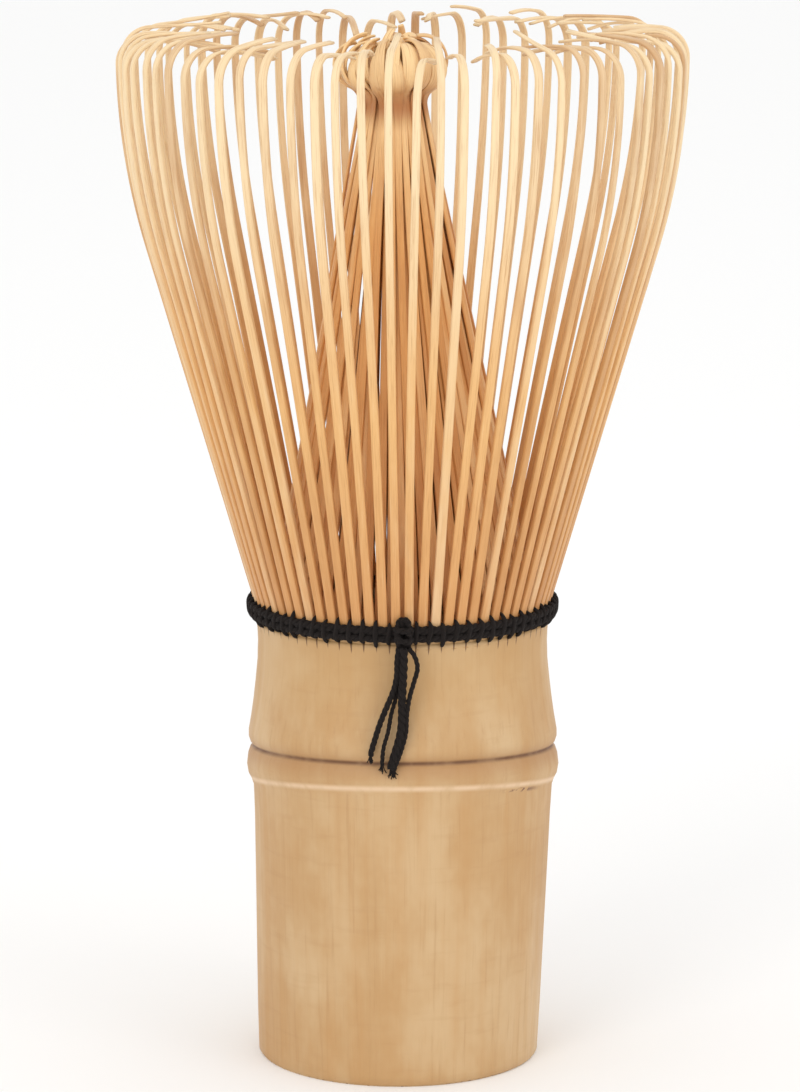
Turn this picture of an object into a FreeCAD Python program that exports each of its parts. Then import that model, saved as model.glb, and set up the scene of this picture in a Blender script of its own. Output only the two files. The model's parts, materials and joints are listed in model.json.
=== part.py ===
"""A bamboo tea whisk: a hollow culm handle with one node, 72 outer tines that curl in at the
tips, 72 inner tines gathered into a cone with a bun of curled tips, and a black thread woven
between the two rows and tied at the front.

Frame: +Z up along the culm, origin at the centre of the foot, the knot faces -Y. Millimetres.
"""
import math
import os

import FreeCAD
import Part
import Sketcher

V = FreeCAD.Vector
AXIS_X, AXIS_Z = V(1, 0, 0), V(0, 0, 1)
SHEET = "Dimensions"

# The driving dimensions: alias, value (mm, degrees or a count), note.
DIMENSIONS = [
    ("sections", 18, "sections that the head of the culm is split into"),
    ("tines_per_section", 4, "outer tines in a section, and as many inner ones"),
    ("head_height", 47.0, "where the solid culm ends and the slits begin"),
    ("bore_radius", 11.8, "natural hollow of the handle"),
    ("bore_depth", 31.2, "from the foot up to where the wall meets the septum"),
    ("septum_top", 34.6, "upper side of the septum"),
    ("cavity_foot_radius", 12.4, "hollow above the septum, at its floor"),
    ("cavity_head_radius", 13.45, "hollow above the septum, at the slits"),
    ("foot_chamfer", 0.35, "broken outer edge of the foot"),
    ("outer_start_radius", 15.33, "middle of an outer tine at its root"),
    ("outer_start_height", 47.08, "root of an outer tine, clear of the culm as it flexes"),
    ("outer_start_lean", 10.0, "its lean there, outwards from the vertical"),
    ("outer_root_run", 1.6, "straight stretch under the thread"),
    ("outer_flare_bend", 20.0, "radius of the bend at the thread"),
    ("outer_flare_turn", 6.4, "how far that bend leans the tine out"),
    ("outer_stem_run", 39.3, "straight stretch above the thread"),
    ("outer_belly_bend", 74.1, "radius of the long bend towards the vertical"),
    ("outer_belly_turn", 14.4, "turn of the long bend"),
    ("outer_curl_bend", 3.9, "radius of the curl at the shoulder"),
    ("outer_curl_turn", 92.0, "turn of the curl, past the vertical to level"),
    ("outer_hook_bend", 10.5, "radius of the tip, which droops a little"),
    ("outer_hook_turn", 24.0, "turn of the tip"),
    ("outer_thickness", 0.55, "radial thickness of an outer tine"),
    ("outer_root_width", 0.85, "width of an outer tine at its root"),
    ("outer_tip_width", 0.6, "its width at the height where the tapers end"),
    ("taper_foot_height", 46.0, "height where the tapers of all tines start"),
    ("taper_head_height", 115.0, "height where the tapers of all tines end"),
    ("taper_reach", 40.0, "radius that the tapering wedge covers"),
    ("inner_start_radius", 14.22, "middle of an inner tine at its root"),
    ("inner_start_height", 47.75, "foot of an inner tine, clear of the culm as it sways"),
    ("inner_start_lean", 0.0, "its lean there"),
    ("inner_root_run", 1.0, "upright stretch under the thread"),
    ("inner_gather_bend", 8.0, "radius of the bend that leans the tine in"),
    ("inner_thickness", 0.36, "radial thickness of an inner tine"),
    ("inner_root_width", 0.8, "width of an inner tine at its root"),
    ("inner_tip_width", 0.3, "its width at the height where the tapers end"),
    ("ring_radius", 14.97, "middle of the thread between the two rows of tines"),
    ("ring_half_thickness", 0.21, "half the thickness of that thread"),
    ("row_wire_radius", 0.34, "half the thickness of an outer row of thread"),
    ("lower_row_radius", 16.38, "middle of the lower row of thread"),
    ("lower_row_height", 49.05, "height of the lower row of thread"),
    ("upper_row_radius", 16.58, "middle of the upper row of thread"),
    ("upper_row_height", 49.76, "height of the upper row of thread"),
    ("stitch_radius", 0.15, "half the thickness of a stitch between two tines"),
    ("stitch_height", 49.4, "height of the stitches and of the ring"),
    ("stitch_inner_radius", 15.21, "inner end of a stitch"),
    ("stitch_outer_radius", 16.04, "outer end of a stitch"),
    ("knot_half_width", 1.15, "half width of the knot"),
    ("knot_half_depth", 0.6, "half depth of the knot"),
    ("knot_half_height", 1.1, "half height of the knot"),
    ("knot_reach", 17.6, "middle of the knot, from the axis"),
    ("knot_height", 49.55, "height of the knot"),
    ("knot_side", 0.35, "how far the knot sits to one side"),
    ("strand_radius", 0.27, "half the thickness of a loose thread end"),
]

# Rings that the outside of the culm runs through: name, height, radius, and how far the
# front of the ring is tipped up, because a bamboo node never lies quite level.
CULM_RINGS = [
    ("foot", 0.0, 15.25, 0.0),
    ("low_grip", 10.0, 15.52, 0.0),
    ("grip", 21.0, 15.84, 0.8),
    ("high_grip", 27.6, 16.02, 3.4),
    ("ridge_foot", 29.9, 16.2, 4.6),
    ("ridge_low", 31.1, 16.72, 5.2),
    ("ridge_crest", 32.2, 16.9, 5.4),
    ("ridge_high", 33.3, 16.6, 5.4),
    ("groove", 34.1, 16.12, 5.4),
    ("collar_low", 34.9, 16.58, 5.2),
    ("collar", 36.0, 16.6, 4.8),
    ("shoulder", 38.6, 16.22, 3.4),
    ("waist", 41.6, 15.8, 1.6),
    ("neck", 44.6, 15.56, 0.4),
    ("head", 47.0, 15.6, 0.0),
]

# The three layers that the inner tines fall into where they are gathered: how far they lean
# in, how long they run straight, then the bend outwards at the bun and its turn.
INNER_LAYERS = [
    ("low", 11.197, 54.93, 1.0, 165.0),
    ("middle", 11.755, 56.89, 1.3, 160.0),
    ("high", 12.35, 59.08, 1.6, 150.0),
]
LAYER_ORDER = ["low", "middle", "low", "high"]  # of the inner tines across a section

# The loose thread ends, as hand-laid routes from the knot down: (sideways, outwards, height).
STRANDS = {
    "tail_strand_main": [(0.1, 17.5, 47.95), (0.0, 17.5, 45.6), (-0.15, 17.4, 43.2),
                         (-0.1, 17.3, 40.8), (-0.35, 17.2, 38.3), (-1.0, 17.1, 35.2)],
    "tail_strand_loop": [(0.85, 17.5, 47.95), (1.35, 17.45, 46.2), (1.2, 17.45, 44.4),
                         (0.55, 17.4, 42.6), (0.5, 17.35, 40.6), (0.3, 17.25, 38.5),
                         (-0.1, 17.15, 36.2)],
    "tail_strand_left": [(-0.55, 17.5, 47.95), (-0.62, 17.5, 46.1), (-0.8, 17.45, 44.2),
                         (-1.5, 17.35, 42.0), (-2.35, 17.15, 39.7), (-3.15, 16.98, 37.4)],
    "tail_strand_middle": [(-0.1, 16.75, 47.95), (-0.15, 16.7, 46.0), (-0.3, 16.7, 44.0),
                           (-0.95, 16.95, 41.8), (-1.15, 17.1, 39.6), (-1.7, 17.1, 37.6),
                           (-1.95, 17.05, 35.8)],
}
BEND_SHARE = 0.45  # of the shorter run beside a point, taken by the arc that rounds it


def make_sheet(doc):
    """The spreadsheet that every size below is bound to."""
    sheet = doc.addObject("Spreadsheet::Sheet", SHEET)
    rows = list(DIMENSIONS)
    for name, height, radius, tip in CULM_RINGS:
        rows += [
            (f"{name}_ring_height", height, "culm ring"),
            (f"{name}_ring_radius", radius, "culm ring"),
            (f"{name}_ring_tip", tip, "culm ring"),
        ]
    for name, lean, run, bend, turn in INNER_LAYERS:
        rows += [
            (f"{name}_layer_lean", lean, "inner tines"),
            (f"{name}_layer_run", run, "inner tines"),
            (f"{name}_layer_bend", bend, "inner tines"),
            (f"{name}_layer_turn", turn, "inner tines"),
        ]
    for row, (alias, value, note) in enumerate(rows, start=1):
        sheet.set(f"A{row}", note)
        sheet.set(f"B{row}", str(value))
        sheet.setAlias(f"B{row}", alias)
    doc.recompute()
    return sheet


def bind(obj, **expressions):
    """Binds properties to expressions of the sheet. Two underscores in a name stand for a dot."""
    for name, text in expressions.items():
        obj.setExpression(name.replace("__", "."), text)


def cell(alias):
    return f"{SHEET}.{alias}"


# ---------------------------------------------------------------- the culm


def make_culm(doc):
    """The outside lofted through the rings, less the handle's bore and the hollow above the septum."""
    rings = []
    for name, *_ in CULM_RINGS:
        ring = doc.addObject("Part::Circle", f"ring_{name}")
        ring.Placement = FreeCAD.Placement(V(), FreeCAD.Rotation(AXIS_X, -1))
        bind(
            ring,
            Radius=cell(f"{name}_ring_radius"),
            Placement__Base__z=cell(f"{name}_ring_height"),
            Placement__Rotation__Angle=f"-{cell(name + '_ring_tip')} * 1 deg",
        )
        rings.append(ring)
    outside = doc.addObject("Part::Loft", "culm_outside")
    outside.Sections = rings
    outside.Solid = True
    outside.Ruled = True

    bore = doc.addObject("Part::Cylinder", "handle_bore")
    bind(bore, Radius=cell("bore_radius"), Height=cell("bore_depth"))

    cavity = doc.addObject("Part::Cone", "head_cavity")
    bind(
        cavity,
        Radius1=cell("cavity_foot_radius"),
        Radius2=cell("cavity_head_radius"),
        Height=f"{cell('head_height')} - {cell('septum_top')}",
        Placement__Base__z=cell("septum_top"),
    )

    hollow = outside
    for tool in (bore, cavity):
        cut = doc.addObject("Part::Cut", f"culm_less_{tool.Name}")
        cut.Base, cut.Tool = hollow, tool
        hollow = cut
    doc.recompute()

    rims = [
        i
        for i, edge in enumerate(hollow.Shape.Edges, start=1)
        if edge.BoundBox.ZMax < 1e-6 and edge.BoundBox.XMax > bore.Radius.Value + 1
    ]
    culm = doc.addObject("Part::Chamfer", "culm")
    culm.Base = hollow
    chamfer = doc.getObject(SHEET).get("foot_chamfer")
    culm.Edges = [(i, chamfer, chamfer) for i in rims]
    return culm


# ---------------------------------------------------------------- tines


class Spine:
    """A planar path of tangent lines and arcs, as a constrained sketch in the XZ plane."""

    def __init__(self, doc, name, radius, height, lean):
        self.sheet = doc.getObject(SHEET)
        self.sketch = doc.addObject("Sketcher::SketchObject", name)
        self.sketch.Placement = FreeCAD.Placement(V(), FreeCAD.Rotation(AXIS_X, 90))
        self.radius, self.height, self.lean = radius, height, lean
        self.point = V(self.value(radius), self.value(height), 0)
        self.heading = math.radians(90 - self.value(lean))
        self.last = None  # (geometry index, which end of it) of the piece before

    def value(self, alias):
        return float(self.sheet.get(alias))

    def dimension(self, name, constraint, expression):
        self.sketch.addConstraint(constraint)
        number = self.sketch.ConstraintCount - 1
        self.sketch.renameConstraint(number, name)
        self.sketch.setExpression(f".Constraints.{name}", expression)

    def line(self, run):
        end = self.point + V(math.cos(self.heading), math.sin(self.heading), 0) * self.value(run)
        index = self.sketch.addGeometry(Part.LineSegment(self.point, end), False)
        if self.last is None:
            self.dimension(
                "start_radius",
                Sketcher.Constraint("DistanceX", index, 1, self.point.x),
                cell(self.radius),
            )
            self.dimension(
                "start_height",
                Sketcher.Constraint("DistanceY", index, 1, self.point.y),
                cell(self.height),
            )
            self.dimension(
                "start_angle",
                Sketcher.Constraint("Angle", index, self.heading),
                f"90 deg - {cell(self.lean)} * 1 deg",
            )
        else:
            self.sketch.addConstraint(Sketcher.Constraint("Tangent", *self.last, index, 1))
        self.dimension(
            run, Sketcher.Constraint("Distance", index, self.value(run)), cell(run)
        )
        self.point, self.last = end, (index, 2)
        return self

    def arc(self, bend, turn, inwards):
        """Turns towards the axis if inwards, and away from it if not."""
        sense = 1 if inwards else -1
        radius, sweep = self.value(bend), math.radians(self.value(turn))
        normal = self.heading + sense * math.pi / 2
        centre = self.point + V(math.cos(normal), math.sin(normal), 0) * radius
        begin = normal + math.pi
        finish = begin + sense * sweep
        low, high = sorted((begin, finish))
        circle = Part.Circle(centre, AXIS_Z, radius)
        index = self.sketch.addGeometry(Part.ArcOfCircle(circle, low, high), False)
        near, far = (1, 2) if inwards else (2, 1)
        self.sketch.addConstraint(Sketcher.Constraint("Tangent", *self.last, index, near))
        self.dimension(bend, Sketcher.Constraint("Radius", index, radius), cell(bend))
        self.dimension(turn, Sketcher.Constraint("Angle", index, sweep), f"{cell(turn)} * 1 deg")
        self.point = centre + V(math.cos(finish), math.sin(finish), 0) * radius
        self.heading += sense * sweep
        self.last = (index, far)
        return self


def make_profile(doc, name, spine, thickness, width):
    """The tine's rectangular section at the start of its spine, square to it."""
    profile = doc.addObject("Sketcher::SketchObject", name)
    lean = math.radians(spine.value(spine.lean))
    # Its own X runs across the tine and its own Y through the tine's thickness.
    profile.Placement = FreeCAD.Placement(
        V(), FreeCAD.Rotation(V(0, 1, 0), V(math.cos(lean), 0, -math.sin(lean)), V(), "XYZ")
    )
    bind(profile, Placement__Base__x=cell(spine.radius), Placement__Base__z=cell(spine.height))
    half_w, half_t = spine.value(width) / 2, spine.value(thickness) / 2
    corners = [V(-half_w, -half_t), V(half_w, -half_t), V(half_w, half_t), V(-half_w, half_t)]
    for i, corner in enumerate(corners):
        profile.addGeometry(Part.LineSegment(corner, corners[(i + 1) % 4]), False)
    for i in range(4):
        profile.addConstraint(Sketcher.Constraint("Coincident", i, 2, (i + 1) % 4, 1))
        profile.addConstraint(Sketcher.Constraint("Horizontal" if i % 2 == 0 else "Vertical", i))
    profile.addConstraint(Sketcher.Constraint("Symmetric", 0, 1, 1, 2, -1, 1))
    for side, kind, size in ((0, "DistanceX", width), (1, "DistanceY", thickness)):
        profile.addConstraint(Sketcher.Constraint(kind, side, 1, side, 2, spine.value(size)))
        profile.renameConstraint(profile.ConstraintCount - 1, size)
        profile.setExpression(f".Constraints.{size}", cell(size))
    return profile


def make_tine(doc, name, spine, thickness, root_width, tip_width):
    """A strip swept along the spine, then cut to taper in width as it rises."""
    strip = doc.addObject("Part::Sweep", f"{name}_strip")
    strip.Sections = [make_profile(doc, f"{name}_section", spine, thickness, root_width)]
    strip.Spine = (spine.sketch, [])
    strip.Solid = True
    strip.Frenet = False

    # The wedge's own Y is the tine's height, its X the width and its Z the radius.
    taper = doc.addObject("Part::Wedge", f"{name}_taper")
    taper.Placement = FreeCAD.Placement(
        V(), FreeCAD.Rotation(V(0, 1, 0), V(0, 0, 1), V(1, 0, 0), "XYZ")
    )
    bind(
        taper,
        Xmin=f"-{cell(root_width)} / 2",
        Xmax=f"{cell(root_width)} / 2",
        X2min=f"-{cell(tip_width)} / 2",
        X2max=f"{cell(tip_width)} / 2",
        Ymin=cell("taper_foot_height"),
        Ymax=cell("taper_head_height"),
        Zmax=cell("taper_reach"),
        Z2max=cell("taper_reach"),
    )
    taper.Zmin = taper.Z2min = 0
    tine = doc.addObject("Part::MultiCommon", name)
    tine.Shapes = [strip, taper]
    return tine


def make_outer_tine(doc):
    """Leans out from the thread, bends back to the vertical, then curls in at the shoulder."""
    spine = Spine(
        doc, "outer_spine", "outer_start_radius", "outer_start_height", "outer_start_lean"
    )
    spine.line("outer_root_run")
    spine.arc("outer_flare_bend", "outer_flare_turn", inwards=False)
    spine.line("outer_stem_run")
    spine.arc("outer_belly_bend", "outer_belly_turn", inwards=True)
    spine.arc("outer_curl_bend", "outer_curl_turn", inwards=True)
    spine.arc("outer_hook_bend", "outer_hook_turn", inwards=True)
    sizes = ("outer_thickness", "outer_root_width", "outer_tip_width")
    return make_tine(doc, "outer_tine", spine, *sizes)


def make_inner_tine(doc, layer):
    """Rises upright under the thread, leans in to the neck, and rolls outwards at its tip."""
    spine = Spine(
        doc,
        f"inner_{layer}_spine",
        "inner_start_radius",
        "inner_start_height",
        "inner_start_lean",
    )
    spine.line("inner_root_run")
    spine.arc("inner_gather_bend", f"{layer}_layer_lean", inwards=True)
    spine.line(f"{layer}_layer_run")
    spine.arc(f"{layer}_layer_bend", f"{layer}_layer_turn", inwards=False)
    sizes = ("inner_thickness", "inner_root_width", "inner_tip_width")
    return make_tine(doc, f"inner_{layer}_tine", spine, *sizes)


def turned_copy(doc, name, source, angle):
    """A copy of a piece, turned about the whisk's axis by an expression in degrees."""
    copy = doc.addObject("App::Link", name)
    copy.LinkedObject = source
    copy.LinkTransform = True
    copy.Placement = FreeCAD.Placement(V(), FreeCAD.Rotation(AXIS_Z, 1))
    bind(copy, Placement__Rotation__Angle=f"({angle}) * 1 deg")
    return copy


def make_group(doc, name, copies):
    group = doc.addObject("Part::Compound", name)
    group.Links = copies
    return group


def make_sections(doc):
    """The head of the culm, section by section: its outer tines, and the inner ones half a
    pitch further round. The first section is the one at the front, behind the knot."""
    sheet = doc.getObject(SHEET)
    sections, per_section = int(sheet.get("sections")), int(sheet.get("tines_per_section"))
    pitch = f"360 / ({cell('sections')} * {cell('tines_per_section')})"
    outer = make_outer_tine(doc)
    inner = {name: make_inner_tine(doc, name) for name, *_ in INNER_LAYERS}
    groups = []
    for k in range(sections):
        outer_copies, inner_copies = [], []
        for j in range(per_section):
            place = f"{k} * {cell('tines_per_section')} + {j} - ({cell('tines_per_section')} - 1) / 2"
            angle = f"({place}) * {pitch} - 90"
            outer_copies.append(turned_copy(doc, f"outer_{k + 1:02}_{j + 1}", outer, angle))
            source = inner[LAYER_ORDER[j % len(LAYER_ORDER)]]
            angle = f"({place} + 0.5) * {pitch} - 90"
            inner_copies.append(turned_copy(doc, f"inner_{k + 1:02}_{j + 1}", source, angle))
        groups.append(make_group(doc, f"outer_tines_{k + 1:02}", outer_copies))
        groups.append(make_group(doc, f"inner_tines_{k + 1:02}", inner_copies))
    return groups


# ---------------------------------------------------------------- the thread


def make_turn(doc, name, radius, half_thickness, height):
    """One turn of thread round the whisk."""
    turn = doc.addObject("Part::Torus", name)
    bind(
        turn,
        Radius1=cell(radius),
        Radius2=cell(half_thickness),
        Placement__Base__z=cell(height),
    )
    return turn


def make_stitches(doc):
    """Where the thread passes between two outer tines, from the inner ring to the outer rows."""
    sheet = doc.getObject(SHEET)
    count = int(sheet.get("sections")) * int(sheet.get("tines_per_section"))
    stitch = doc.addObject("Part::Cylinder", "stitch")
    stitch.Placement = FreeCAD.Placement(V(), FreeCAD.Rotation(V(0, 1, 0), 90))
    bind(
        stitch,
        Radius=cell("stitch_radius"),
        Height=f"{cell('stitch_outer_radius')} - {cell('stitch_inner_radius')}",
        Placement__Base__x=cell("stitch_inner_radius"),
        Placement__Base__z=cell("stitch_height"),
    )
    pitch = f"360 / ({cell('sections')} * {cell('tines_per_section')})"
    copies = [
        turned_copy(doc, f"stitch_{i + 1:02}", stitch, f"{i} * {pitch}") for i in range(count)
    ]
    return make_group(doc, "thread_stitches", copies)


def make_knot(doc):
    knot = doc.addObject("Part::Ellipsoid", "thread_knot")
    bind(
        knot,
        Radius1=cell("knot_half_height"),
        Radius2=cell("knot_half_width"),
        Radius3=cell("knot_half_depth"),
        Placement__Base__x=cell("knot_side"),
        Placement__Base__y=f"-{cell('knot_reach')}",
        Placement__Base__z=cell("knot_height"),
    )
    return knot


def rounded_route(points):
    """Straight runs joined by tangent arcs, as large as the two runs beside each point allow."""
    edges, radii, start = [], [], points[0]
    for before, here, after in zip(points, points[1:], points[2:]):
        into, away = here - before, after - here
        trim = BEND_SHARE * min(into.Length, away.Length)
        turn = into.getAngle(away)
        radii.append(trim / math.tan(turn / 2))
        into.normalize()
        away.normalize()
        begin, end = here - into * trim, here + away * trim
        inward = (away - into).normalize()
        middle = here + inward * (radii[-1] / math.cos(turn / 2) - radii[-1])
        edges += [Part.LineSegment(start, begin).toShape(), Part.Arc(begin, middle, end).toShape()]
        start = end
    edges.append(Part.LineSegment(start, points[-1]).toShape())
    return Part.Wire(edges), radii


def make_strand(doc, name, route):
    """A loose thread end: a round tube along its rounded route."""
    wire, radii = rounded_route([V(side, -reach, height) for side, reach, height in route])
    print(f"{name}: {wire.Length:.1f} mm, bend radii", *(f"{radius:.1f}" for radius in radii))
    path = doc.addObject("Part::Feature", f"{name}_route")
    path.Shape = wire
    first = wire.Edges[0]
    section = doc.addObject("Part::Circle", f"{name}_section")
    section.Placement = FreeCAD.Placement(
        first.valueAt(first.FirstParameter),
        FreeCAD.Rotation(AXIS_Z, first.tangentAt(first.FirstParameter)),
    )
    bind(section, Radius=cell("strand_radius"))
    strand = doc.addObject("Part::Sweep", name)
    strand.Sections = [section]
    strand.Spine = (path, [])
    strand.Solid = True
    strand.Frenet = False
    return strand


def make_thread(doc):
    return [
        make_turn(doc, "thread_ring", "ring_radius", "ring_half_thickness", "stitch_height"),
        make_turn(
            doc, "thread_lower_row", "lower_row_radius", "row_wire_radius", "lower_row_height"
        ),
        make_turn(
            doc, "thread_upper_row", "upper_row_radius", "row_wire_radius", "upper_row_height"
        ),
        make_stitches(doc),
        make_knot(doc),
    ] + [make_strand(doc, name, route) for name, route in STRANDS.items()]


# ---------------------------------------------------------------- the whole


def check(doc, nodes):
    """Stops if any object failed to recompute or any sub-part's shape is missing or not valid."""
    for obj in doc.Objects:
        if {"Invalid", "Error"} & set(obj.State):
            raise RuntimeError(f"{obj.Label} did not recompute: {obj.State}")
    for node in nodes:
        if node.Shape.isNull() or not node.Shape.isValid() or not node.Shape.Solids:
            raise RuntimeError(f"{node.Label} has no valid solid")


def main():
    doc = FreeCAD.newDocument("tea_whisk")
    make_sheet(doc)
    nodes = [make_culm(doc)] + make_sections(doc) + make_thread(doc)
    doc.recompute()
    check(doc, nodes)
    os.makedirs("parts", exist_ok=True)
    for node in nodes:
        node.Shape.exportStep(f"parts/{node.Label}.step")
    print(f"{len(nodes)} nodes, {sum(len(node.Shape.Solids) for node in nodes)} solids")


main()
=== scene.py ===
"""The looks of a bamboo tea whisk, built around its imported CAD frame.

The frame gives the bodies, the number of tines and the main sizes. The culm, the tines and the
thread are rebuilt here in full detail, each piece on the body of the CAD node that it replaces.
Up to the stage, lengths are millimetres, and angles in the tables are degrees unless the table
says otherwise. The whisk's axis is Z, it stands on the floor at height 0, and its knot is at the
front, on -Y.
"""

import json
import math
import random

import bpy
import numpy as np
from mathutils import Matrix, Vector


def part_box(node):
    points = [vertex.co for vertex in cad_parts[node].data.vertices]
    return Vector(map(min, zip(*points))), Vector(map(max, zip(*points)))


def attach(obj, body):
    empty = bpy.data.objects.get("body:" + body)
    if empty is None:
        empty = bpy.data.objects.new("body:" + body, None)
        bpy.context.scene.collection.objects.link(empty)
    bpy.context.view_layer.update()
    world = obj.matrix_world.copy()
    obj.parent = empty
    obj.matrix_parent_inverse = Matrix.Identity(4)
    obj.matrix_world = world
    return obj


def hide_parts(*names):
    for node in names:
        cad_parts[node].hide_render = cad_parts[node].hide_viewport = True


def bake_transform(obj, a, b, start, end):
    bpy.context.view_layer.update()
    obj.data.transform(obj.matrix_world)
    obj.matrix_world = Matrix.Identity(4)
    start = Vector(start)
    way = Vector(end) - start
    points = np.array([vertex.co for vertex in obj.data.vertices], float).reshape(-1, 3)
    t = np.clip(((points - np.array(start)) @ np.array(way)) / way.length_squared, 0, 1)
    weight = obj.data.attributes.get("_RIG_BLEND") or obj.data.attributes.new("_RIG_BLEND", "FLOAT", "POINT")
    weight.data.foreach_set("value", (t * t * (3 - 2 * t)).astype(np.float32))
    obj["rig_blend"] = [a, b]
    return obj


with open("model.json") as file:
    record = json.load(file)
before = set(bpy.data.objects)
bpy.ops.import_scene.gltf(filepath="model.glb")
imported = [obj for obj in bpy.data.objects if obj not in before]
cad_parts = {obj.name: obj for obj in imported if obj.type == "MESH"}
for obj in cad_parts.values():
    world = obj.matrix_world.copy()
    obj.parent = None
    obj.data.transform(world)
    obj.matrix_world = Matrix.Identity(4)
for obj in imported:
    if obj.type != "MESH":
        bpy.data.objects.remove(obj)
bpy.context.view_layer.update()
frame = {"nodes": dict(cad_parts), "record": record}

MM = 0.001  # a millimetre in the scene's metres
UP = np.array([0, 0, 1.0])
RNG = random.Random(72)
FRONT = math.radians(-90)  # the azimuth of the knot
SECTIONS = sum(name.startswith("outer_tines_") for name in frame["nodes"])
TINES_PER_SECTION = 4
TINE_COUNT = SECTIONS * TINES_PER_SECTION
PITCH = math.tau / TINE_COUNT  # from one tine to the next, round the whisk

# What the frame gives: the top of the culm under the slits, the middle of the woven thread, and
# the bore of the handle.
HEAD_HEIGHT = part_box("culm")[1].z / MM
THREAD_HEIGHT = (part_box("thread_lower_row")[0].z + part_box("thread_upper_row")[1].z) / 2 / MM
MOUNTS = {mount["name"]: mount["dims"] for mount in frame["record"]["mounts"]}
BORE_RADIUS = MOUNTS["handle_bore"]["r_mm"]

# ------------------------------------------------------------------ mesh helpers


def make_mesh(name, verts, faces, material, attributes=None):
    """A smooth object from points in millimetres; attributes are one number or vector per point."""
    mesh = bpy.data.meshes.new(name)
    mesh.from_pydata([tuple(v) for v in np.asarray(verts, float) * MM], [], faces)
    mesh.validate()
    for key, values in (attributes or {}).items():
        values = np.asarray(values, np.float32)
        kind, field = ("FLOAT", "value") if values.ndim == 1 else ("FLOAT_VECTOR", "vector")
        layer = mesh.attributes.new(key, kind, "POINT")
        layer.data.foreach_set(field, values.ravel())
    mesh.polygons.foreach_set("use_smooth", [True] * len(mesh.polygons))
    mesh.materials.append(material)
    mesh.update()
    obj = bpy.data.objects.new(name, mesh)
    bpy.context.scene.collection.objects.link(obj)
    return obj


class MeshParts:
    """Collects the parts of one mesh. Each point has a grain, which is its place along and across
    its fibre for the textures, and each part has a tone of its own between 0 and 1."""

    def __init__(self):
        self.verts = []
        self.faces = []
        self.attributes = {"grain": [], "tone": []}

    def add(self, verts, faces, grain, tone):
        """Adds one part; its faces count its own points from 0."""
        start = len(self.verts)
        self.verts.extend(verts)
        self.faces.extend([tuple(i + start for i in face) for face in faces])
        self.attributes["grain"].extend(grain)
        self.attributes["tone"].extend([tone] * len(verts))

    def build(self, name, material):
        """The finished object."""
        return make_mesh(name, self.verts, self.faces, material, self.attributes)


def tube_faces(stations, sides, closed=False):
    """Quads between successive rings of points, with a cap at each end unless it is closed."""
    faces = []
    spans = stations if closed else stations - 1
    for i in range(spans):
        a, b = i * sides, ((i + 1) % stations) * sides
        for j in range(sides):
            k = (j + 1) % sides
            faces.append((a + j, a + k, b + k, b + j))
    if not closed:
        faces.append(tuple(range(sides))[::-1])
        faces.append(tuple(range((stations - 1) * sides, stations * sides)))
    return faces


def unit(v):
    """The same vectors, one unit long."""
    return v / np.maximum(np.linalg.norm(v, axis=-1, keepdims=True), 1e-12)


def tangents(points, closed):
    """The direction of a path at each of its points."""
    if closed:
        return unit(np.roll(points, -1, 0) - np.roll(points, 1, 0))
    return unit(np.gradient(points, axis=0))


def ease(x, low, high):
    """0 below low, 1 above high, and a smooth step between."""
    t = np.clip((x - low) / (high - low), 0, 1)
    return t * t * (3 - 2 * t)


def add_tube(parts, points, radius, sides=8, closed=False, tone=0.5):
    """A round tube along points; radius is one number or one per point."""
    points = np.asarray(points, float)
    count = len(points)
    tangent = tangents(points, closed)
    normal = np.zeros_like(points)
    seed = UP if abs(tangent[0][2]) < 0.9 else np.array([1.0, 0, 0])
    normal[0] = unit(seed - tangent[0] * (seed @ tangent[0]))
    for i in range(1, count):
        normal[i] = unit(normal[i - 1] - tangent[i] * (normal[i - 1] @ tangent[i]))
    side = np.cross(tangent, normal)
    around = np.linspace(0, math.tau, sides, endpoint=False)
    reach = np.broadcast_to(np.asarray(radius, float), (count,))
    cos, sin = np.cos(around)[None, :, None], np.sin(around)[None, :, None]
    ring = cos * normal[:, None] + sin * side[:, None]
    verts = (points[:, None] + ring * reach[:, None, None]).reshape(-1, 3)
    run = np.concatenate([[0], np.cumsum(np.linalg.norm(np.diff(points, axis=0), axis=1))])
    identity = tone * 40  # takes each tube to a place of its own in the textures
    grain = np.stack(np.broadcast_arrays(around[None, :], run[:, None], identity), -1)
    parts.add(verts, tube_faces(count, sides, closed), grain.reshape(-1, 3), tone)


def smooth_path(points, count):
    """A smooth curve through points, by Catmull-Rom, at count places even in the parameter."""
    points = np.asarray(points, float)
    ends = np.vstack([2 * points[0] - points[1], points, 2 * points[-1] - points[-2]])
    out = []
    for u in np.linspace(0, len(points) - 1 - 1e-9, count):
        i = int(u)
        t = u - i
        a, b, c, d = ends[i : i + 4]
        bend = (2 * a - 5 * b + 4 * c - d) * t**2
        out.append(0.5 * (2 * b + (c - a) * t + bend + (3 * b - a - 3 * c + d) * t**3))
    return np.array(out)


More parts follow.
